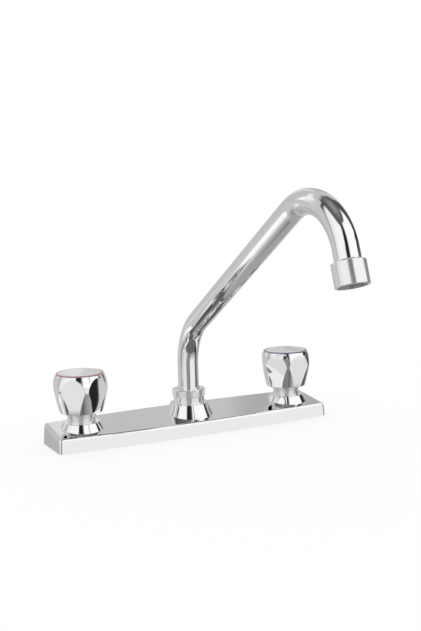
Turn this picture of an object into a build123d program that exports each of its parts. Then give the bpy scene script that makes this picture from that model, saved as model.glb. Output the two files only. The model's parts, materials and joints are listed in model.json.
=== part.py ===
"""Two-handle kitchen faucet: a swivel spout and two faceted knobs on a low deck cover.

Millimetres. +Z is up, -Y is the front, z = 0 is the deck, x = y = 0 is the spout's axis.
"""
import os
from math import cos, radians, sin, sqrt, tan

from build123d import *

os.makedirs("parts", exist_ok=True)

# Fits and clearances
thread_fit = 0.05           # radial, between threads and other close round fits
running_fit = 0.08          # radial, where the spout turns
seat_gap = 0.05             # between faces that turn on each other
loose_gap = 0.3             # between pieces that only pass each other

# Deck cover: bulged in plan, top falling to the front
inlet_spacing = 203.2       # 8 inches between the hot and cold axes
cover_overhang = 28.3       # from a knob's axis to the cover's end
cover_end_width = 45.5
cover_mid_width = 54.5
cover_setback = 1.2         # the fixtures stand this far behind the cover's mid-line
cover_height = 15.5         # at the fixtures' axes
cover_tilt = 7.6            # degrees
cover_draft = 3.5           # degrees
cover_wall = 1.6
cover_end_round = 3.5
cover_edge_round = 2.2
cover_rough_height = 31.0   # before the falling top is cut
gasket_thickness = 1.2

# Valve bodies and spout post, under the cover
body_radius = 14.0
body_height = 11.8
neck_radius = 10.8
inlet_radius = 9.3          # G1/2 female port
inlet_depth = 5.5
chamber_radius = 8.75
web_thickness = 1.5
orifice_radius = 4.0
seat_radius = 5.2
seat_lip = 0.7
boss_margin = 1.0           # the cover's inner pads stand this far outside the bodies
cross_tube_radius = 3.2
cross_tube_wall = 0.8
cross_tube_height = 8.2
cross_tube_socket = 3.0
post_radius = 15.0
post_floor = 3.0
post_neck_radius = 11.9
post_chamber_radius = 8.0
post_chamber_height = 14.5

# Flanges
flange_rise = 4.6           # knob flange, above the cover at its axis
flange_top_radius = 15.6
flange_foot_radius = 18.0
spout_flange_rise = 9.0
spout_flange_top_radius = 17.0
spout_flange_foot_radius = 20.6
flange_edge_round = 0.6

# Bonnets: knurled collar above, threaded spigot below
collar_radius = 12.2
collar_height = 10.5
collar_knurl_height = 6.6
collar_knurl_count = 40
knurl_depth = 0.45
spigot_depth = 6.5
spigot_bore_radius = 6.3
spigot_bore_depth = 5.5
stem_thread_radius = 5.0
stem_thread_depth = 4.0     # above the collar's foot
stem_radius = 4.6
bonnet_gasket = 0.8

# Spindle, jumper and washer
valve_lift = 3.0
washer_radius = 5.9
washer_thickness = 2.4
jumper_disc = 1.8
jumper_pin_radius = 2.0
jumper_pin_length = 5.0
spindle_head_radius = 5.9
spindle_head_height = 2.8
spline_radius = 4.0
spline_length = 12.0
spline_count = 20
spline_depth = 0.35
stem_ring_section = 1.2
stem_ring_depth = 1.0
stem_ring_drop = 4.6        # below the collar's top

# Knobs: a barrel with six slightly pillowed facets
knob_overlap = 2.0          # the knob's foot hangs this far below the collar's top
knob_foot_radius = 18.3
knob_waist_radius = 23.5
knob_rim_radius = 20.5
knob_waist_height = 19.6
knob_height = 32.8
knob_waist_round = 8.0
knob_rim_round = 0.6
knob_foot_round = 0.8
facet_count = 6
facet_apothem = 21.4
facet_crest_height = 30.2
facet_radius = 129.0
facet_edge_round = 0.6
hot_facet_angle = -6.0      # degrees, where one facet faces at rest
cold_facet_angle = 35.0
knob_hollow_radius = 15.4
knob_web_height = 21.7      # underside of the web, above the knob's foot
knob_web_thickness = 3.0
knob_hub_radius = 6.5
knob_hub_lift = 1.0         # the hub's lower end above the collar
knob_well_radius = 17.0
cap_seat_depth = 1.5
cap_seat_radius = 18.6
screw_radius = 2.0
screw_length = 16.0
screw_head_radius = 3.6
screw_head_height = 2.4
screw_slot_length = 4.4
screw_slot_width = 0.7
screw_slot_depth = 1.2
index_ring_radius = 19.9
index_ring_height = 0.7
index_cap_skirt = 1.5
index_cap_hollow = 1.1
index_cap_crown = 2.9

# Spout
tube_radius = 9.25
tube_wall = 1.0
riser_height = 85.5         # where the riser's and the slope's lines meet
slope_angle = 31.5          # degrees above the horizontal
slope_length = 268.0
spout_end_angle = 17.0      # degrees, outward from straight down
spout_end_length = 66.5     # from the top corner to the aerator
lower_bend_radius = 49.0
upper_bend_radius = 45.5
tube_engagement = 8.5       # length of tube inside the post

# Spout nut, over the post's upper thread
nut_height = 12.6
nut_body_radius = 13.6
nut_knurl_radius = 14.7
nut_knurl_height = 6.2
nut_knurl_count = 46
nut_lip = 2.4
nut_shoulder = 0.6
post_thread_height = 6.6    # above the spout flange
retaining_ring_height = 2.0
retaining_ring_radius = 11.5
thrust_washer_thickness = 1.0
spout_ring_section = 1.6
spout_ring_depth = 1.4
spout_ring_pitch = 4.5
o_ring_round = 0.35

# Aerator
aerator_radius = 12.0
aerator_length = 16.5
aerator_wall = 1.2
aerator_top = 1.6
aerator_lip = 1.6
aerator_lip_width = 0.6
aerator_edge_round = 0.5
aerator_neck_height = 1.0   # small cone on the housing, round the tube
aerator_neck_tip = 0.15
aerator_neck_width = 0.7
outlet_thread_length = 6.0
outlet_washer_thickness = 1.5
aerator_screen_thickness = 1.0
screen_hole_radius = 0.7
screen_cell_radius = 1.4
screen_rows = 7
insert_cell_radius = 2.4
insert_rows = 3

# Levels and places worked out from the sizes above
half_spacing = inlet_spacing / 2
cover_length = inlet_spacing + 2 * cover_overhang
flange_top = cover_height + flange_rise
collar_top = flange_top + collar_height
seat_level = inlet_depth + web_thickness + seat_lip
jumper_top = seat_level + washer_thickness + jumper_disc
spindle_foot = jumper_top + seat_gap
knob_foot = collar_top - knob_overlap
knob_waist = knob_foot + knob_waist_height
knob_rim = knob_foot + knob_height
knob_web = knob_foot + knob_web_height
knob_floor = knob_web + knob_web_thickness
hub_foot = collar_top + knob_hub_lift
spline_top = hub_foot + spline_length
cap_seat = knob_rim - cap_seat_depth
spout_flange_top = cover_height + spout_flange_rise
post_top = spout_flange_top + post_thread_height
tube_foot = post_top - tube_engagement
valve_sides = (("hot", -half_spacing, hot_facet_angle), ("cold", half_spacing, cold_facet_angle))

end_run = Vector(0, -sin(radians(spout_end_angle)), -cos(radians(spout_end_angle)))
riser_corner = Vector(0, 0, riser_height)
slope_run = Vector(0, -cos(radians(slope_angle)), sin(radians(slope_angle)))
top_corner = riser_corner + slope_run * slope_length
aerator_origin = top_corner + end_run * spout_end_length


def upright(axis_x):
    """Plane through a vertical axis: its x is a radius, its y is the height."""
    return Plane(origin=(axis_x, 0, 0), x_dir=(1, 0, 0), z_dir=(0, -1, 0))


def axle(axis_x):
    """Vertical axis of a round piece."""
    return Axis((axis_x, 0, 0), (0, 0, 1))


def level(axis_x, height):
    """Horizontal plane centred on a vertical axis."""
    return Plane(origin=(axis_x, 0, height), x_dir=(1, 0, 0), z_dir=(0, 0, 1))


def cover_top(drop):
    """The cover's falling top plane, lowered by drop."""
    tilt = radians(cover_tilt)
    normal = Vector(0, -sin(tilt), cos(tilt))
    return Plane(origin=Vector(0, 0, cover_height) - normal * drop, x_dir=(1, 0, 0), z_dir=normal)


def cover_block(inset):
    """Solid block with the cover's bulged plan, drafted walls and falling top, moved in by inset."""
    half_length = cover_length / 2 - inset
    end = cover_end_width / 2 - inset
    mid = cover_mid_width / 2 - inset
    with BuildPart() as block:
        with BuildSketch(Plane(origin=(0, -cover_setback, 0))):
            with BuildLine():
                front = ThreePointArc((-half_length, -end), (0, -mid), (half_length, -end))
                right = Line(front @ 1, (half_length, end))
                back = ThreePointArc(right @ 1, (0, mid), (-half_length, end))
                Line(back @ 1, front @ 0)
            make_face()
        extrude(amount=cover_rough_height, taper=cover_draft)
        split(bisect_by=cover_top(inset), keep=Keep.BOTTOM)
    return block.part


def finish(piece, name):
    """Label one finished piece and write it."""
    piece.part.label = name
    export_step(piece.part, f"parts/{name}.step")


# Deck cover: an open shell with a flat pad under each fixture
pads = ((-half_spacing, body_radius, neck_radius), (half_spacing, body_radius, neck_radius),
        (0, post_radius, post_neck_radius))

with BuildPart() as cover_hollow:
    add(cover_block(cover_wall))
    for pad_x, pad_body_radius, pad_neck_radius in pads:
        with BuildSketch(level(pad_x, body_height)):
            Circle(pad_body_radius + boss_margin)
        extrude(amount=cover_height, mode=Mode.SUBTRACT)

with BuildPart() as deck_cover:
    add(cover_block(0))
    end_faces = deck_cover.faces().sort_by(Axis.X)
    end_edges = [end_faces[0].edges().sort_by(Axis.Z)[-1], end_faces[-1].edges().sort_by(Axis.Z)[-1]]
    fillet(end_edges, cover_end_round)
    long_faces = deck_cover.faces().sort_by(Axis.Y)
    long_edges = long_faces[0].edges().sort_by(Axis.Z)[1:] + long_faces[-1].edges().sort_by(Axis.Z)[1:]
    fillet(long_edges, cover_edge_round)
    add(cover_hollow.part, mode=Mode.SUBTRACT)
    for pad_x, pad_body_radius, pad_neck_radius in pads:
        with BuildSketch(level(pad_x, 0)):
            Circle(pad_neck_radius + loose_gap)
        extrude(amount=cover_rough_height, mode=Mode.SUBTRACT)
finish(deck_cover, "deck_cover")

# Deck gasket: foam sheet inside the cover's rim, open around each body
gasket_inset = cover_wall + loose_gap
with BuildPart() as deck_gasket:
    add(cover_block(gasket_inset))
    split(bisect_by=Plane.XY.offset(gasket_thickness), keep=Keep.BOTTOM)
    for pad_x, pad_body_radius, pad_neck_radius in pads:
        with BuildSketch(level(pad_x, 0)):
            Circle(pad_body_radius + loose_gap)
        extrude(amount=gasket_thickness, mode=Mode.SUBTRACT)
finish(deck_gasket, "deck_gasket")

# Spout post: closed below, fed from both sides, with two ring grooves round the spout's tail
tube_bore = tube_radius + running_fit
ring_levels = (tube_foot + spout_ring_section, tube_foot + spout_ring_section + spout_ring_pitch)
with BuildPart() as spout_post:
    with BuildSketch(upright(0)):
        Polygon(
            (0, 0), (post_radius, 0), (post_radius, body_height), (post_neck_radius, body_height),
            (post_neck_radius, post_top), (tube_bore, post_top), (tube_bore, post_chamber_height),
            (post_chamber_radius, post_chamber_height), (post_chamber_radius, post_floor), (0, post_floor),
            align=None,
        )
    revolve(axis=axle(0))
    for ring_level in ring_levels:
        with BuildSketch(level(0, ring_level)):
            Circle(tube_bore + spout_ring_depth)
        extrude(amount=spout_ring_section, mode=Mode.SUBTRACT)
    for side_sign in (-1, 1):
        with BuildSketch(Plane(origin=(0, 0, cross_tube_height), x_dir=(0, 1, 0), z_dir=(side_sign, 0, 0))):
            Circle(cross_tube_radius - cross_tube_wall)
        extrude(amount=post_radius, mode=Mode.SUBTRACT)
        socket_start = side_sign * (post_radius - cross_tube_socket)
        with BuildSketch(Plane(origin=(socket_start, 0, cross_tube_height), x_dir=(0, 1, 0),
                               z_dir=(side_sign, 0, 0))):
            Circle(cross_tube_radius + thread_fit)
        extrude(amount=cross_tube_socket * 2, mode=Mode.SUBTRACT)
finish(spout_post, "spout_post")

with BuildPart() as spout_o_rings:
    for ring_level in ring_levels:
        with BuildSketch(upright(0)):
            with Locations((tube_bore + spout_ring_depth / 2, ring_level + spout_ring_section / 2)):
                RectangleRounded(spout_ring_depth - thread_fit, spout_ring_section - thread_fit, o_ring_round)
        revolve(axis=axle(0))
finish(spout_o_rings, "spout_o_rings")


def cone_flange(axis_x, hole_radius, top_radius, foot_radius, top_level):
    """Conical flange whose foot is cut to the cover's falling top."""
    spread = (foot_radius - top_radius) / (top_level - cover_height)
    fall = foot_radius * tan(radians(cover_tilt))
    low_level = cover_height - 2 * fall
    low_radius = top_radius + spread * (top_level - low_level)
    with BuildPart() as flange:
        with BuildSketch(upright(axis_x)):
            Polygon((hole_radius, low_level), (low_radius, low_level), (top_radius, top_level),
                    (hole_radius, top_level), align=None)
        revolve(axis=axle(axis_x))
        split(bisect_by=cover_top(0), keep=Keep.TOP)
        top_edges = flange.edges().filter_by(GeomType.CIRCLE).group_by(Axis.Z)[-1]
        fillet(top_edges.sort_by(SortBy.RADIUS)[-1], flange_edge_round)
    return flange


finish(cone_flange(0, post_neck_radius + loose_gap, spout_flange_top_radius, spout_flange_foot_radius,
                   spout_flange_top), "spout_flange")

# Spout nut: plain body, knurled band above it and an inner lip over the retaining ring
nut_top = spout_flange_top + nut_height
nut_band_foot = nut_top - nut_knurl_height
lip_level = nut_top - nut_lip
with BuildPart() as spout_nut:
    with BuildSketch(upright(0)):
        Polygon(
            (post_neck_radius + thread_fit, spout_flange_top), (nut_body_radius, spout_flange_top),
            (nut_body_radius, nut_band_foot - nut_shoulder), (nut_knurl_radius, nut_band_foot),
            (nut_knurl_radius, nut_top - nut_shoulder), (nut_knurl_radius - nut_shoulder, nut_top),
            (tube_radius + loose_gap, nut_top), (tube_radius + loose_gap, lip_level),
            (post_neck_radius + thread_fit, lip_level), align=None,
        )
    revolve(axis=axle(0))
    with BuildSketch(level(0, nut_band_foot)):
        with PolarLocations(nut_knurl_radius, nut_knurl_count):
            Rectangle(knurl_depth * sqrt(2), knurl_depth * sqrt(2), rotation=45)
    extrude(amount=nut_knurl_height - nut_shoulder, mode=Mode.SUBTRACT)
finish(spout_nut, "spout_nut")

# Retaining ring on the spout's tail, between the post and the thrust washer under the nut's lip
ring_foot = lip_level - seat_gap - thrust_washer_thickness - seat_gap - retaining_ring_height
with BuildPart() as spout_retaining_ring:
    with BuildSketch(level(0, ring_foot)):
        Circle(retaining_ring_radius)
        Circle(tube_radius, mode=Mode.SUBTRACT)
    extrude(amount=retaining_ring_height)
finish(spout_retaining_ring, "spout_retaining_ring")

with BuildPart() as spout_thrust_washer:
    with BuildSketch(level(0, lip_level - seat_gap - thrust_washer_thickness)):
        Circle(retaining_ring_radius)
        Circle(tube_radius + loose_gap, mode=Mode.SUBTRACT)
    extrude(amount=thrust_washer_thickness)
finish(spout_thrust_washer, "spout_thrust_washer")

# Spout tube: riser, long slope and turned-down end, running on into the aerator
outlet_thread_start = aerator_top + loose_gap
tube_tip = aerator_origin + end_run * (outlet_thread_start + outlet_thread_length)
with BuildPart() as spout_tube:
    with BuildLine() as spout_path:
        FilletPolyline((0, 0, tube_foot), riser_corner, top_corner, tube_tip,
                       radius=[lower_bend_radius, upper_bend_radius])
    with BuildSketch(level(0, tube_foot)):
        Circle(tube_radius)
        Circle(tube_radius - tube_wall, mode=Mode.SUBTRACT)
    sweep(path=spout_path.wires()[0])
finish(spout_tube, "spout_tube")

# Aerator, built along the spout's end: local x is a radius, local y runs with the water
aerator_plane = Plane(origin=aerator_origin, x_dir=(1, 0, 0), z_dir=Vector(1, 0, 0).cross(end_run))
aerator_axis = Axis(aerator_origin, end_run)
aerator_bore = aerator_radius - aerator_wall
neck_bore = tube_radius + thread_fit
mouth_radius = aerator_bore - aerator_lip_width
outlet_thread_end = outlet_thread_start + outlet_thread_length
washer_end = outlet_thread_end + outlet_washer_thickness
screen_start = aerator_length - aerator_lip - aerator_screen_thickness


def aerator_level(distance):
    """Plane across the aerator at a distance along the water's way."""
    return Plane(origin=aerator_origin + end_run * distance, x_dir=(1, 0, 0), z_dir=end_run)


with BuildPart() as aerator_housing:
    with BuildSketch(aerator_plane):
        Polygon(
            (neck_bore, -aerator_neck_height), (neck_bore + aerator_neck_tip, -aerator_neck_height),
            (neck_bore + aerator_neck_width, 0), (aerator_radius, 0), (aerator_radius, aerator_length),
            (mouth_radius, aerator_length), (mouth_radius, aerator_length - aerator_lip),
            (aerator_bore, aerator_length - aerator_lip), (aerator_bore, aerator_top),
            (neck_bore, aerator_top), align=None,
        )
    revolve(axis=aerator_axis)
    rims = aerator_housing.edges().filter_by(GeomType.CIRCLE).sort_by(SortBy.RADIUS)[-2:]
    fillet(rims, aerator_edge_round)
finish(aerator_housing, "aerator_housing")

with BuildPart() as outlet_thread:
    with BuildSketch(aerator_level(outlet_thread_start)):
        Circle(aerator_bore - thread_fit)
        Circle(tube_radius, mode=Mode.SUBTRACT)
    extrude(amount=outlet_thread_length)
finish(outlet_thread, "outlet_thread_ring")

with BuildPart() as aerator_washer:
    with BuildSketch(aerator_level(outlet_thread_end)):
        Circle(aerator_bore - thread_fit)
        Circle(tube_radius - tube_wall, mode=Mode.SUBTRACT)
    extrude(amount=outlet_washer_thickness)
finish(aerator_washer, "aerator_washer")

with BuildPart() as aerator_insert:
    with BuildSketch(aerator_level(washer_end)):
        Circle(aerator_bore - thread_fit)
        with HexLocations(insert_cell_radius, insert_rows, insert_rows):
            Circle(screen_hole_radius, mode=Mode.SUBTRACT)
    extrude(amount=screen_start - washer_end)
finish(aerator_insert, "aerator_insert")

with BuildPart() as aerator_screen:
    with BuildSketch(aerator_level(screen_start)):
        Circle(aerator_bore - thread_fit)
        with HexLocations(screen_cell_radius, screen_rows, screen_rows):
            Circle(screen_hole_radius, mode=Mode.SUBTRACT)
    extrude(amount=aerator_screen_thickness)
finish(aerator_screen, "aerator_screen")

# Hot and cold sides
for side, axis_x, facet_angle in valve_sides:
    inward = -1 if axis_x > 0 else 1

    # Valve body: inlet port below, seat, chamber and a side port to the cross tube
    with BuildPart() as valve_body:
        with BuildSketch(upright(axis_x)):
            Polygon(
                (inlet_radius, 0), (body_radius, 0), (body_radius, body_height), (neck_radius, body_height),
                (neck_radius, flange_top - bonnet_gasket), (chamber_radius, flange_top - bonnet_gasket),
                (chamber_radius, inlet_depth + web_thickness), (seat_radius, inlet_depth + web_thickness),
                (seat_radius, seat_level), (orifice_radius, seat_level), (orifice_radius, inlet_depth),
                (inlet_radius, inlet_depth), align=None,
            )
        revolve(axis=axle(axis_x))
        port_start = axis_x + inward * (chamber_radius - loose_gap)
        with BuildSketch(Plane(origin=(port_start, 0, cross_tube_height), x_dir=(0, 1, 0),
                               z_dir=(inward, 0, 0))):
            Circle(cross_tube_radius - cross_tube_wall)
        extrude(amount=body_radius, mode=Mode.SUBTRACT)
        socket_start = axis_x + inward * (body_radius - cross_tube_socket)
        with BuildSketch(Plane(origin=(socket_start, 0, cross_tube_height), x_dir=(0, 1, 0),
                               z_dir=(inward, 0, 0))):
            Circle(cross_tube_radius + thread_fit)
        extrude(amount=cross_tube_socket * 2, mode=Mode.SUBTRACT)
    finish(valve_body, f"{side}_valve_body")

    # Cross tube from the valve body to the spout post
    post_socket = -inward * (post_radius - cross_tube_socket)
    with BuildPart() as cross_tube:
        with BuildSketch(Plane(origin=(socket_start, 0, cross_tube_height), x_dir=(0, 1, 0),
                               z_dir=(inward, 0, 0))):
            Circle(cross_tube_radius)
            Circle(cross_tube_radius - cross_tube_wall, mode=Mode.SUBTRACT)
        extrude(amount=abs(post_socket - socket_start))
    finish(cross_tube, f"{side}_cross_tube")

    finish(cone_flange(axis_x, neck_radius + loose_gap, flange_top_radius, flange_foot_radius, flange_top),
           f"{side}_flange")

    # Bonnet: knurled collar over a threaded spigot, bored for the spindle
    with BuildPart() as bonnet:
        spigot_radius = chamber_radius - thread_fit
        thread_bore = stem_thread_radius + thread_fit
        gland_bore = stem_radius + thread_fit
        with BuildSketch(upright(axis_x)):
            Polygon(
                (spigot_bore_radius, flange_top - spigot_depth), (spigot_radius, flange_top - spigot_depth),
                (spigot_radius, flange_top), (collar_radius - knurl_depth, flange_top),
                (collar_radius - knurl_depth, collar_top - collar_knurl_height),
                (collar_radius, collar_top - collar_knurl_height), (collar_radius, collar_top),
                (gland_bore, collar_top), (gland_bore, flange_top + stem_thread_depth),
                (thread_bore, flange_top + stem_thread_depth),
                (thread_bore, flange_top - spigot_depth + spigot_bore_depth),
                (spigot_bore_radius, flange_top - spigot_depth + spigot_bore_depth), align=None,
            )
        revolve(axis=axle(axis_x))
        with BuildSketch(level(axis_x, collar_top - collar_knurl_height)):
            with PolarLocations(collar_radius, collar_knurl_count):
                Rectangle(knurl_depth * sqrt(2), knurl_depth * sqrt(2), rotation=45)
        extrude(amount=collar_knurl_height, mode=Mode.SUBTRACT)
    finish(bonnet, f"{side}_bonnet")

    with BuildPart() as bonnet_seal:
        with BuildSketch(level(axis_x, flange_top - bonnet_gasket)):
            Circle(neck_radius)
            Circle(chamber_radius, mode=Mode.SUBTRACT)
        extrude(amount=bonnet_gasket)
    finish(bonnet_seal, f"{side}_bonnet_gasket")

    # Jumper and its washer: they lift off the seat without turning
    with BuildPart() as seat_washer:
        with BuildSketch(level(axis_x, seat_level)):
            Circle(washer_radius)
        extrude(amount=washer_thickness)
    finish(seat_washer, f"{side}_seat_washer")

    with BuildPart() as jumper:
        with BuildSketch(level(axis_x, seat_level + washer_thickness)):
            Circle(washer_radius)
        extrude(amount=jumper_disc)
        with BuildSketch(level(axis_x, jumper_top)):
            Circle(jumper_pin_radius)
        extrude(amount=jumper_pin_length)
    finish(jumper, f"{side}_jumper")

    # Spindle: head, thread, smooth stem with a ring groove, and a splined top
    head_top = spindle_foot + spindle_head_height
    thread_top = flange_top + stem_thread_depth - valve_lift - loose_gap
    groove_foot = collar_top - stem_ring_drop
    groove_top = groove_foot + stem_ring_section
    groove_radius = stem_radius - stem_ring_depth
    pin_bore = jumper_pin_radius + running_fit
    pin_bore_top = jumper_top + jumper_pin_length + loose_gap
    screw_hole = screw_radius + thread_fit
    screw_foot = knob_floor - screw_length
    with BuildPart() as spindle:
        with BuildSketch(upright(axis_x)):
            Polygon(
                (pin_bore, spindle_foot), (spindle_head_radius, spindle_foot),
                (spindle_head_radius, head_top), (stem_thread_radius, head_top),
                (stem_thread_radius, thread_top), (stem_radius, thread_top),
                (stem_radius, groove_foot), (groove_radius, groove_foot), (groove_radius, groove_top),
                (stem_radius, groove_top), (stem_radius, hub_foot), (spline_radius, hub_foot),
                (spline_radius, spline_top), (screw_hole, spline_top), (screw_hole, screw_foot),
                (0, screw_foot), (0, pin_bore_top), (pin_bore, pin_bore_top), align=None,
            )
        revolve(axis=axle(axis_x))
        with BuildSketch(level(axis_x, hub_foot)):
            with PolarLocations(spline_radius, spline_count):
                Rectangle(spline_depth * sqrt(2), spline_depth * sqrt(2), rotation=45)
        extrude(amount=spline_length, mode=Mode.SUBTRACT)
    finish(spindle, f"{side}_spindle")

    with BuildPart() as stem_ring:
        with BuildSketch(upright(axis_x)):
            with Locations(((groove_radius + gland_bore) / 2, (groove_foot + groove_top) / 2)):
                RectangleRounded(gland_bore - groove_radius - thread_fit, stem_ring_section - thread_fit,
                                 o_ring_round)
        revolve(axis=axle(axis_x))
    finish(stem_ring, f"{side}_stem_o_ring")

    # Knob: turned barrel, six pillowed facets, hollow skirt, splined hub and a seat for the index cap
    crest = knob_foot + facet_crest_height
    facet_low = knob_foot - knob_foot_round
    facet_reach = knob_waist_radius * 2

    def facet_distance(height):
        """Distance of a facet from the knob's axis at a height."""
        return facet_apothem - facet_radius + sqrt(facet_radius ** 2 - (height - crest) ** 2)

    with BuildPart() as knob:
        with BuildSketch(upright(axis_x)) as barrel:
            with BuildLine():
                flank = Polyline((0, knob_rim), (0, knob_foot), (knob_foot_radius, knob_foot),
                                 (knob_waist_radius, knob_waist))
                shoulder = TangentArc(flank @ 1, (knob_rim_radius, knob_rim), tangent=(0, 1))
                Line(shoulder @ 1, flank @ 0)
            make_face()
            fillet(barrel.vertices().sort_by(Axis.X)[-1], knob_waist_round)
            fillet(barrel.vertices().group_by(Axis.Y)[-1].sort_by(Axis.X)[-1], knob_rim_round)
            fillet(barrel.vertices().group_by(Axis.Y)[0].sort_by(Axis.X)[-1], knob_foot_round)
        revolve(axis=axle(axis_x))
        for facet in range(facet_count):
            turn = radians(facet_angle + facet * 360 / facet_count)
            facing = Vector(cos(turn), sin(turn), 0)
            with BuildSketch(Plane(origin=(axis_x, 0, 0), x_dir=facing,
                                   z_dir=facing.cross(Vector(0, 0, 1)))):
                with BuildLine():
                    pillow = ThreePointArc((facet_distance(facet_low), facet_low), (facet_apothem, crest),
                                           (facet_distance(knob_rim), knob_rim))
                    Polyline(pillow @ 1, (facet_reach, knob_rim), (facet_reach, facet_low), pillow @ 0)
                make_face()
            extrude(amount=knob_waist_radius, both=True, mode=Mode.SUBTRACT)
        fillet(knob.faces().filter_by(GeomType.CYLINDER).edges(), facet_edge_round)
        with BuildSketch(upright(axis_x)):
            Polygon(
                (knob_hub_radius, knob_foot), (knob_hollow_radius, knob_foot), (knob_hollow_radius, knob_web),
                (knob_hub_radius, knob_web), align=None,
            )
            Polygon(
                (0, knob_foot), (knob_hub_radius, knob_foot), (knob_hub_radius, hub_foot), (0, hub_foot),
                align=None,
            )
            Polygon(
                (0, hub_foot), (spline_radius + thread_fit, hub_foot),
                (spline_radius + thread_fit, spline_top + loose_gap), (0, spline_top + loose_gap), align=None,
            )
            Polygon(
                (0, spline_top), (screw_radius + loose_gap, spline_top),
                (screw_radius + loose_gap, knob_floor), (0, knob_floor), align=None,
            )
            Polygon(
                (0, knob_floor), (knob_well_radius, knob_floor), (knob_well_radius, cap_seat),
                (cap_seat_radius, cap_seat), (cap_seat_radius, knob_rim), (0, knob_rim), align=None,
            )
        revolve(axis=axle(axis_x), mode=Mode.SUBTRACT)
    finish(knob, f"{side}_knob")

    with BuildPart() as knob_screw:
        with BuildSketch(level(axis_x, screw_foot)):
            Circle(screw_radius)
        extrude(amount=screw_length)
        with BuildSketch(level(axis_x, knob_floor)):
            Circle(screw_head_radius)
        extrude(amount=screw_head_height)
        with BuildSketch(level(axis_x, knob_floor + screw_head_height)):
            Rectangle(screw_slot_length, screw_slot_width)
            Rectangle(screw_slot_width, screw_slot_length)
        extrude(amount=-screw_slot_depth, mode=Mode.SUBTRACT)
    finish(knob_screw, f"{side}_knob_screw")

    # Coloured index ring on the knob's rim, and the domed cap inside it
    ring_top = knob_rim + index_ring_height
    with BuildPart() as index_ring:
        with BuildSketch(level(axis_x, knob_rim)):
            Circle(index_ring_radius)
            Circle(cap_seat_radius, mode=Mode.SUBTRACT)
        extrude(amount=index_ring_height)
    finish(index_ring, f"{side}_index_ring")

    spigot_edge = cap_seat_radius - thread_fit
    skirt_inner = spigot_edge - index_cap_skirt
    crown_radius = (spigot_edge ** 2 + index_cap_crown ** 2) / (2 * index_cap_crown)
    with BuildPart() as index_cap:
        with BuildSketch(upright(axis_x)):
            with BuildLine():
                crown = RadiusArc((0, ring_top + index_cap_crown), (spigot_edge, ring_top), crown_radius)
                Polyline(crown @ 1, (spigot_edge, cap_seat), (skirt_inner, cap_seat),
                         (skirt_inner, cap_seat + index_cap_hollow), (0, cap_seat + index_cap_hollow),
                         crown @ 0)
            make_face()
        revolve(axis=axle(axis_x))
    finish(index_cap, f"{side}_index_cap")
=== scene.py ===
"""Finishes, studio and camera for the kitchen faucet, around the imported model.

Metres, in the model's own frame: +Z up, -Y to the front, the origin on the deck under the spout.
"""
import json
from math import cos, radians, sin

import bmesh
import bpy
from mathutils import Matrix, Vector

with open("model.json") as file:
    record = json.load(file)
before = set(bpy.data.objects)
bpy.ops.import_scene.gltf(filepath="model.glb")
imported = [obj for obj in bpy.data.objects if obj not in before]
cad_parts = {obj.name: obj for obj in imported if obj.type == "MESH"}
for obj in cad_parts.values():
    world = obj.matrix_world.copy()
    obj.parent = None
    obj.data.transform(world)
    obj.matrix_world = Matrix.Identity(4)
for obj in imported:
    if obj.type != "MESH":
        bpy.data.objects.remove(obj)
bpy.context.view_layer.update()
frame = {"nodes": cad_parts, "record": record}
scene = bpy.context.scene
scene.view_settings.view_transform = "Standard"

# Camera, fitted to the photograph: angles in degrees, focal length in pixels, the sensor in millimetres
image_height = 631
focal_pixels = 957.45
sensor_width = 36.0
camera_azimuth = -26.87
camera_elevation = 7.03
camera_roll = -1.54
camera_distance = 0.86339
camera_right = 0.01861
camera_up = 0.10166
camera_clip = 0.01

# Studio
white = (1, 1, 1, 1)
tent_radius = 60.0
tent_subdivisions = 4
tent_fill = 0.11
all_round = (-200, 200)
half_turn = 180.0
floor_reach = 6.0
floor_drop = 0.0003
floor_grey = (0.3, 0.3, 0.3, 1)
floor_glow = 0.7

# Noise in the finishes: its detail, the part of its range over which gloss drifts, and metal's finer relief
metal_detail = 2.0
solid_detail = 6.0
drift_low = 0.3
drift_high = 0.7
reliefs_per_grain = 8

# A mix node's sockets for colours, which share their names with those for numbers
mix_first = 6
mix_second = 7
mix_result = 2


class Graph:
    """Short way to add nodes to a tree and join them."""

    def __init__(self, tree):
        self.tree = tree
        tree.nodes.clear()

    def node(self, kind, **settings):
        """A new node with its properties set."""
        made = self.tree.nodes.new(kind)
        for name, value in settings.items():
            setattr(made, name, value)
        return made

    def put(self, socket, value):
        """Link a socket or set a plain value."""
        if isinstance(value, bpy.types.NodeSocket):
            self.tree.links.new(value, socket)
        else:
            socket.default_value = value

    def show(self, shader, kind="ShaderNodeOutputMaterial"):
        """Send a shader to the tree's output."""
        out = self.node(kind)
        self.put(out.inputs["Surface"], shader.outputs[0])

    def math(self, operation, *values):
        """A math node's result."""
        made = self.node("ShaderNodeMath", operation=operation)
        for socket, value in zip(made.inputs, values):
            self.put(socket, value)
        return made.outputs[0]

    def ramp(self, value, low, high, start=0.0, end=1.0):
        """value mapped smoothly from low..high to start..end."""
        made = self.node("ShaderNodeMapRange", interpolation_type="SMOOTHSTEP")
        given = {"Value": value, "From Min": low, "From Max": high, "To Min": start, "To Max": end}
        for name, setting in given.items():
            self.put(made.inputs[name], setting)
        return made.outputs["Result"]

    def mix(self, first, second, share):
        """Numbers mixed by share."""
        made = self.node("ShaderNodeMix")
        self.put(made.inputs["Factor"], share)
        self.put(made.inputs["A"], first)
        self.put(made.inputs["B"], second)
        return made.outputs["Result"]

    def mix_colour(self, first, second, share):
        """Colours mixed by share."""
        made = self.node("ShaderNodeMix", data_type="RGBA")
        self.put(made.inputs["Factor"], share)
        self.put(made.inputs[mix_first], first)
        self.put(made.inputs[mix_second], second)
        return made.outputs[mix_result]


def node_material(name):
    """A new material made of nodes."""
    material = bpy.data.materials.new(name)
    material.use_nodes = True
    return material


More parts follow.
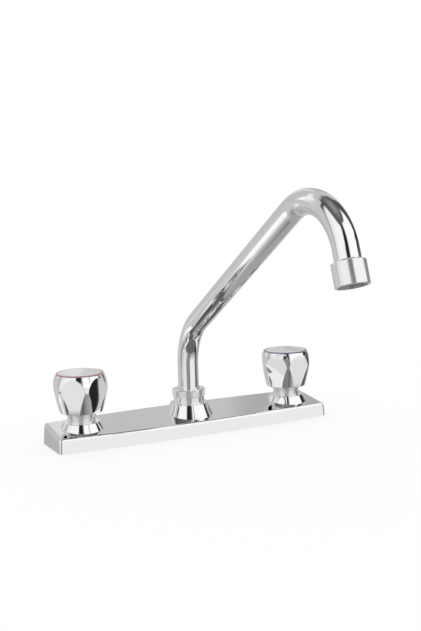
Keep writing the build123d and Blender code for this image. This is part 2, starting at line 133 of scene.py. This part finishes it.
# Studio: a plain white room, and a wide tent of pale panels and dark gaps that the metal mirrors
class Tent(Graph):
    """Brightness by direction in degrees: azimuth is 0 at the front and 90 at +X."""

    def __init__(self, tree, fill):
        super().__init__(tree)
        place = self.node("ShaderNodeNewGeometry")
        way = self.node("ShaderNodeVectorMath", operation="NORMALIZE")
        self.put(way.inputs[0], place.outputs["Position"])
        parts = self.node("ShaderNodeSeparateXYZ")
        self.put(parts.inputs[0], way.outputs["Vector"])
        across, along, rise = parts.outputs
        turn = self.math("ARCTAN2", across, self.math("MULTIPLY", along, -1.0))
        self.azimuth = self.math("DEGREES", turn)
        self.elevation = self.math("DEGREES", self.math("ARCSINE", rise))
        self.light = fill

    def above(self, value, edge, soft):
        """1 above an edge and 0 below it."""
        return self.ramp(value, edge - soft, edge + soft)

    def below(self, value, edge, soft):
        """1 below an edge and 0 above it."""
        return self.ramp(value, edge - soft, edge + soft, 1.0, 0.0)

    def panel(self, brightness, azimuth, elevation, soft, lean=0.0, bow=0.0):
        """Paint a panel between two azimuths and two elevations.

        soft is the half width of its left, right, low and high edge. Its middle moves in azimuth by lean
        times the elevation and by bow times the elevation squared.
        """
        left, right, low, high = soft
        bottom, top = elevation
        centre = sum(azimuth) / 2
        half = (azimuth[1] - azimuth[0]) / 2
        bend = self.math("MULTIPLY_ADD", self.elevation, bow, lean)
        middle = self.math("MULTIPLY_ADD", self.elevation, bend, centre)
        away = self.math("WRAP", self.math("SUBTRACT", self.azimuth, middle), half_turn, -half_turn)
        share = self.above(away, -half, left)
        share = self.math("MULTIPLY", share, self.below(away, half, right))
        share = self.math("MULTIPLY", share, self.above(self.elevation, bottom, low))
        share = self.math("MULTIPLY", share, self.below(self.elevation, top, high))
        self.light = self.mix(self.light, brightness, share)


def tent():
    """The surroundings that the metal mirrors: a wide dome that only mirrored rays meet."""
    material = node_material("tent")
    material.cycles.emission_sampling = "NONE"
    light = Tent(material.node_tree, tent_fill)
    # overhead
    light.panel(0.27, azimuth=all_round, elevation=(74, 120), soft=(4, 4, 12, 4))
    # floor at the front
    light.panel(0.14, azimuth=all_round, elevation=(-100, -43), soft=(5, 5, 5, 5))
    # floor at the back, paler towards the wall
    light.panel(0.38, azimuth=(114, 242), elevation=(-95, -1), soft=(12, 9, 5, 5))
    light.panel(0.22, azimuth=(114, 242), elevation=(-100, -72), soft=(12, 9, 4, 3))
    light.panel(0.6, azimuth=(117, 240), elevation=(-28, 4), soft=(12, 8, 14, 5))
    # back wall, highest in the middle
    light.panel(0.6, azimuth=(122, 238), elevation=(-12, 52), soft=(6, 3, 5, 4))
    light.panel(0.59, azimuth=(137, 222), elevation=(0, 59), soft=(5, 5, 8, 4))
    light.panel(0.56, azimuth=(150, 210), elevation=(0, 65), soft=(6, 6, 8, 4))
    # darker and paler parts of the wall
    light.panel(0.44, azimuth=(138, 149), elevation=(14, 36), soft=(4, 1.2, 4, 4))
    light.panel(0.76, azimuth=(159.5, 171), elevation=(6, 46), soft=(1.5, 3, 4, 4))
    light.panel(0.48, azimuth=(188, 202), elevation=(-20, -6), soft=(5, 2, 4, 3))
    # white panels at the back left, with a grey foot
    light.panel(1.04, azimuth=(209.5, 217), elevation=(10, 38), soft=(0.8, 8, 3, 6))
    light.panel(0.95, azimuth=(212, 222), elevation=(24, 40), soft=(4, 6, 6, 6))
    light.panel(0.97, azimuth=(244.5, 256), elevation=(36, 50), soft=(1.5, 9, 4, 6), lean=-1.07)
    light.panel(0.95, azimuth=(212.5, 216), elevation=(-22, -10), soft=(1.5, 1.5, 8, 3), lean=0.27)
    light.panel(0.5, azimuth=(205, 224), elevation=(-64, -38), soft=(8, 2, 6, 4))
    light.panel(0.98, azimuth=(222.4, 236), elevation=(-52, -22), soft=(1.2, 6, 15, 5))
    light.panel(0.6, azimuth=(216, 222.4), elevation=(-42, 0), soft=(2, 1.2, 5, 3))
    light.panel(1.06, azimuth=(222.4, 232.5), elevation=(-40, -19), soft=(1.2, 4, 6, 2))
    # left front
    light.panel(0.62, azimuth=(-126, -112), elevation=(-38, -24), soft=(4, 4, 4, 3))
    light.panel(0.2, azimuth=(-114, -98), elevation=(-27, -13), soft=(3, 4, 4, 2))
    light.panel(0.86, azimuth=(-117, -41), elevation=(-10, 52), soft=(3.5, 3, 8, 3))
    light.panel(0.99, azimuth=(-98, -41), elevation=(2, 53), soft=(14, 3, 6, 4))
    light.panel(0.82, azimuth=(-95, -41), elevation=(-37, 2), soft=(8, 8, 5, 6))
    light.panel(0.76, azimuth=(-95, -68), elevation=(-38, -12), soft=(8, 5, 6, 2))
    # right front
    light.panel(1.06, azimuth=(-9, 88), elevation=(2, 62), soft=(5, 6, 6, 3))
    light.panel(0.3, azimuth=(2, 45), elevation=(-41.5, -36), soft=(8, 5, 2, 4))
    light.panel(0.9, azimuth=(-6, 57), elevation=(-33, 4), soft=(6, 3, 13, 6))
    light.panel(0.79, azimuth=(36, 57), elevation=(-30, -12), soft=(4, 3, 6, 2))
    # gap at the camera
    light.panel(0.29, azimuth=(-43, -13), elevation=(-42, 28), soft=(9, 10, 6, 3))
    light.panel(0.06, azimuth=(-38.5, -14), elevation=(23, 58), soft=(3.5, 7, 0.5, 4))
    light.panel(0.02, azimuth=(-36, -17), elevation=(23, 47), soft=(3, 4, 0.5, 4))
    # gap at the left
    light.panel(0.07, azimuth=(-128, -119), elevation=(50, 62), soft=(2, 2, 4, 3))
    light.panel(0.1, azimuth=(-125.5, -120.5), elevation=(28, 56), soft=(2, 1.5, 6, 3))
    light.panel(0.42, azimuth=(-124, -119), elevation=(0, 30), soft=(1.5, 1.5, 4, 4))
    # gap at the right, with a pale bowed strip
    light.panel(0.02, azimuth=(57, 78), elevation=(-48, 5), soft=(3, 2, 4, 3))
    light.panel(0.64, azimuth=(67.56, 71), elevation=(-30, -8), soft=(0.06, 1, 2, 2), lean=0.08, bow=0.011)
    light.panel(0.13, azimuth=(80, 112), elevation=(3, 14), soft=(4, 5, 2, 2))
    light.panel(0.015, azimuth=(76.5, 112), elevation=(12, 25), soft=(3, 5, 2, 1.5))
    light.panel(0.015, azimuth=(70.5, 80), elevation=(15.6, 19), soft=(1.5, 2, 0.4, 1.5))
    light.panel(0.015, azimuth=(75.5, 84), elevation=(14.4, 20), soft=(1.5, 2, 0.4, 1.5))
    light.panel(0.08, azimuth=(89, 121), elevation=(22, 58), soft=(4, 5, 3, 4))
    glow = light.node("ShaderNodeEmission")
    light.put(glow.inputs["Strength"], light.light)
    light.show(glow)
    mesh = bpy.data.meshes.new("tent")
    shell = bmesh.new()
    bmesh.ops.create_icosphere(shell, subdivisions=tent_subdivisions, radius=tent_radius)
    shell.to_mesh(mesh)
    shell.free()
    mesh.materials.append(material)
    dome = bpy.data.objects.new("tent", mesh)
    scene.collection.objects.link(dome)
    dome.visible_camera = False
    dome.visible_diffuse = False
    dome.visible_transmission = False
    dome.visible_shadow = False


def room():
    """Plain white light from all sides, and a white background."""
    world = bpy.data.worlds.new("room")
    world.use_nodes = True
    scene.world = world
    graph = Graph(world.node_tree)
    background = graph.node("ShaderNodeBackground")
    background.inputs["Color"].default_value = white
    graph.show(background, "ShaderNodeOutputWorld")


def floor():
    """Pale floor that keeps a soft shadow; it glows for the camera and isn't mirrored."""
    near, far = -floor_reach, floor_reach
    corners = [(near, near), (far, near), (far, far), (near, far)]
    mesh = bpy.data.meshes.new("floor")
    mesh.from_pydata([(x, y, -floor_drop) for x, y in corners], [], [(0, 1, 2, 3)])
    ground = bpy.data.objects.new("floor", mesh)
    scene.collection.objects.link(ground)
    ground.visible_glossy = False
    material = node_material("floor")
    graph = Graph(material.node_tree)
    diffuse = graph.node("ShaderNodeBsdfDiffuse")
    diffuse.inputs["Color"].default_value = floor_grey
    glow = graph.node("ShaderNodeEmission")
    paths = graph.node("ShaderNodeLightPath")
    graph.put(glow.inputs["Strength"], graph.math("MULTIPLY", paths.outputs["Is Camera Ray"], floor_glow))
    both = graph.node("ShaderNodeAddShader")
    graph.put(both.inputs[0], diffuse.outputs[0])
    graph.put(both.inputs[1], glow.outputs[0])
    graph.show(both)
    mesh.materials.append(material)


def camera():
    """Camera at the photograph's place; its sensor's width spans the picture's height, the longer side."""
    azimuth, elevation, roll = (radians(v) for v in (camera_azimuth, camera_elevation, camera_roll))
    back = Vector((sin(azimuth) * cos(elevation), -cos(azimuth) * cos(elevation), sin(elevation)))
    level = Vector((cos(azimuth), sin(azimuth), 0))
    upright = back.cross(level)
    right = level * cos(roll) + upright * sin(roll)
    up = upright * cos(roll) - level * sin(roll)
    data = bpy.data.cameras.new("camera")
    data.sensor_width = sensor_width
    data.lens = focal_pixels / image_height * sensor_width
    data.clip_start = camera_clip
    eye = bpy.data.objects.new("camera", data)
    scene.collection.objects.link(eye)
    place = Matrix((right, up, back)).transposed().to_4x4()
    place.translation = back * camera_distance + right * camera_right + up * camera_up
    eye.matrix_world = place
    scene.camera = eye


# Finishes
finishes = {}


def speckle(graph, size, detail):
    """Noise of a grain size in metres."""
    place = graph.node("ShaderNodeTexCoord")
    noise = graph.node("ShaderNodeTexNoise")
    graph.put(noise.inputs["Vector"], place.outputs["Object"])
    noise.inputs["Scale"].default_value = 1.0 / size
    noise.inputs["Detail"].default_value = detail
    return noise.outputs["Fac"]


def relief(graph, shader, height, depth):
    """Bump a shader by a height pattern of a depth in metres."""
    bump = graph.node("ShaderNodeBump")
    bump.inputs["Distance"].default_value = depth
    graph.put(bump.inputs["Height"], height)
    graph.put(shader.inputs["Normal"], bump.outputs["Normal"])


def surface(name, dark, light, rough, grain, detail):
    """A new finish whose colour and gloss drift a little: its graph, its shader and the drift."""
    finishes[name] = node_material(name)
    graph = Graph(finishes[name].node_tree)
    shader = graph.node("ShaderNodeBsdfPrincipled")
    graph.show(shader)
    drift = speckle(graph, grain, detail)
    graph.put(shader.inputs["Base Color"], graph.mix_colour((*dark, 1), (*light, 1), drift))
    graph.put(shader.inputs["Roughness"], graph.ramp(drift, drift_low, drift_high, *rough))
    return graph, shader, drift


def metal(name, dark, light, rough, grain, depth, metallic=1.0):
    """Metal, with a relief finer than its drift."""
    graph, shader, _ = surface(name, dark, light, rough, grain, metal_detail)
    shader.inputs["Metallic"].default_value = metallic
    relief(graph, shader, speckle(graph, grain / reliefs_per_grain, metal_detail), depth)


def solid(name, dark, light, rough, grain, depth):
    """Plastic, rubber or foam, with a fine grain."""
    graph, shader, drift = surface(name, dark, light, rough, grain, solid_detail)
    relief(graph, shader, drift, depth)


plated = {"dark": (0.90, 0.90, 0.90), "light": (0.93, 0.93, 0.93)}
metal("chrome", (0.90, 0.90, 0.91), (0.93, 0.93, 0.935), rough=(0.02, 0.04), grain=0.02, depth=2e-7)
metal("knob_chrome", **plated, rough=(0.005, 0.015), grain=0.02, depth=5e-8)
metal("cap_chrome", **plated, rough=(0.15, 0.2), grain=0.01, depth=2e-7, metallic=0.75)
metal("soft_chrome", **plated, rough=(0.06, 0.1), grain=0.02, depth=2e-7, metallic=0.7)
metal("satin_chrome", **plated, rough=(0.16, 0.2), grain=0.004, depth=2e-8, metallic=0.6)
solid("grey_nylon", (0.05, 0.05, 0.052), (0.09, 0.09, 0.092), rough=(0.4, 0.55), grain=0.002, depth=4e-6)
metal("brass", (0.62, 0.45, 0.18), (0.75, 0.58, 0.27), rough=(0.22, 0.38), grain=0.006, depth=4e-6)
metal("steel", (0.52, 0.52, 0.52), (0.66, 0.66, 0.66), rough=(0.2, 0.35), grain=0.003, depth=3e-6)
# Steel for the aerator's screen, its colour darkened with painted shade from the housing's rim
metal("steel_with_painted_shade", (0.30, 0.30, 0.30), (0.38, 0.38, 0.38), rough=(0.3, 0.45), grain=0.003, depth=3e-6,
      metallic=0.4)
solid("seal_rubber", (0.015, 0.015, 0.016), (0.04, 0.04, 0.042), rough=(0.5, 0.7), grain=0.001, depth=1e-5)
solid("gasket_foam", (0.03, 0.03, 0.032), (0.09, 0.09, 0.095), rough=(0.75, 0.95), grain=0.0012, depth=6e-5)
solid("nylon", (0.74, 0.73, 0.69), (0.84, 0.83, 0.79), rough=(0.35, 0.5), grain=0.002, depth=4e-6)
solid("hot_red", (0.44, 0.18, 0.20), (0.52, 0.23, 0.25), rough=(0.15, 0.25), grain=0.002, depth=1e-6)
solid("cold_blue", (0.16, 0.17, 0.30), (0.21, 0.22, 0.37), rough=(0.15, 0.25), grain=0.002, depth=1e-6)

slots = {part["node"]: part["material_slot"] for part in frame["record"]["subparts"]}
slots.update(
    hot_bonnet="satin_chrome",
    cold_bonnet="satin_chrome",
    hot_index_cap="cap_chrome",
    cold_index_cap="cap_chrome",
    spout_nut="soft_chrome",
    aerator_housing="soft_chrome",
    aerator_insert="grey_nylon",
    # the aerator's screen takes the steel darkened with painted shade
    aerator_screen="steel_with_painted_shade",
)
for node, piece in frame["nodes"].items():
    piece.data.materials.clear()
    piece.data.materials.append(finishes[slots[node]])

room()
tent()
floor()
camera()
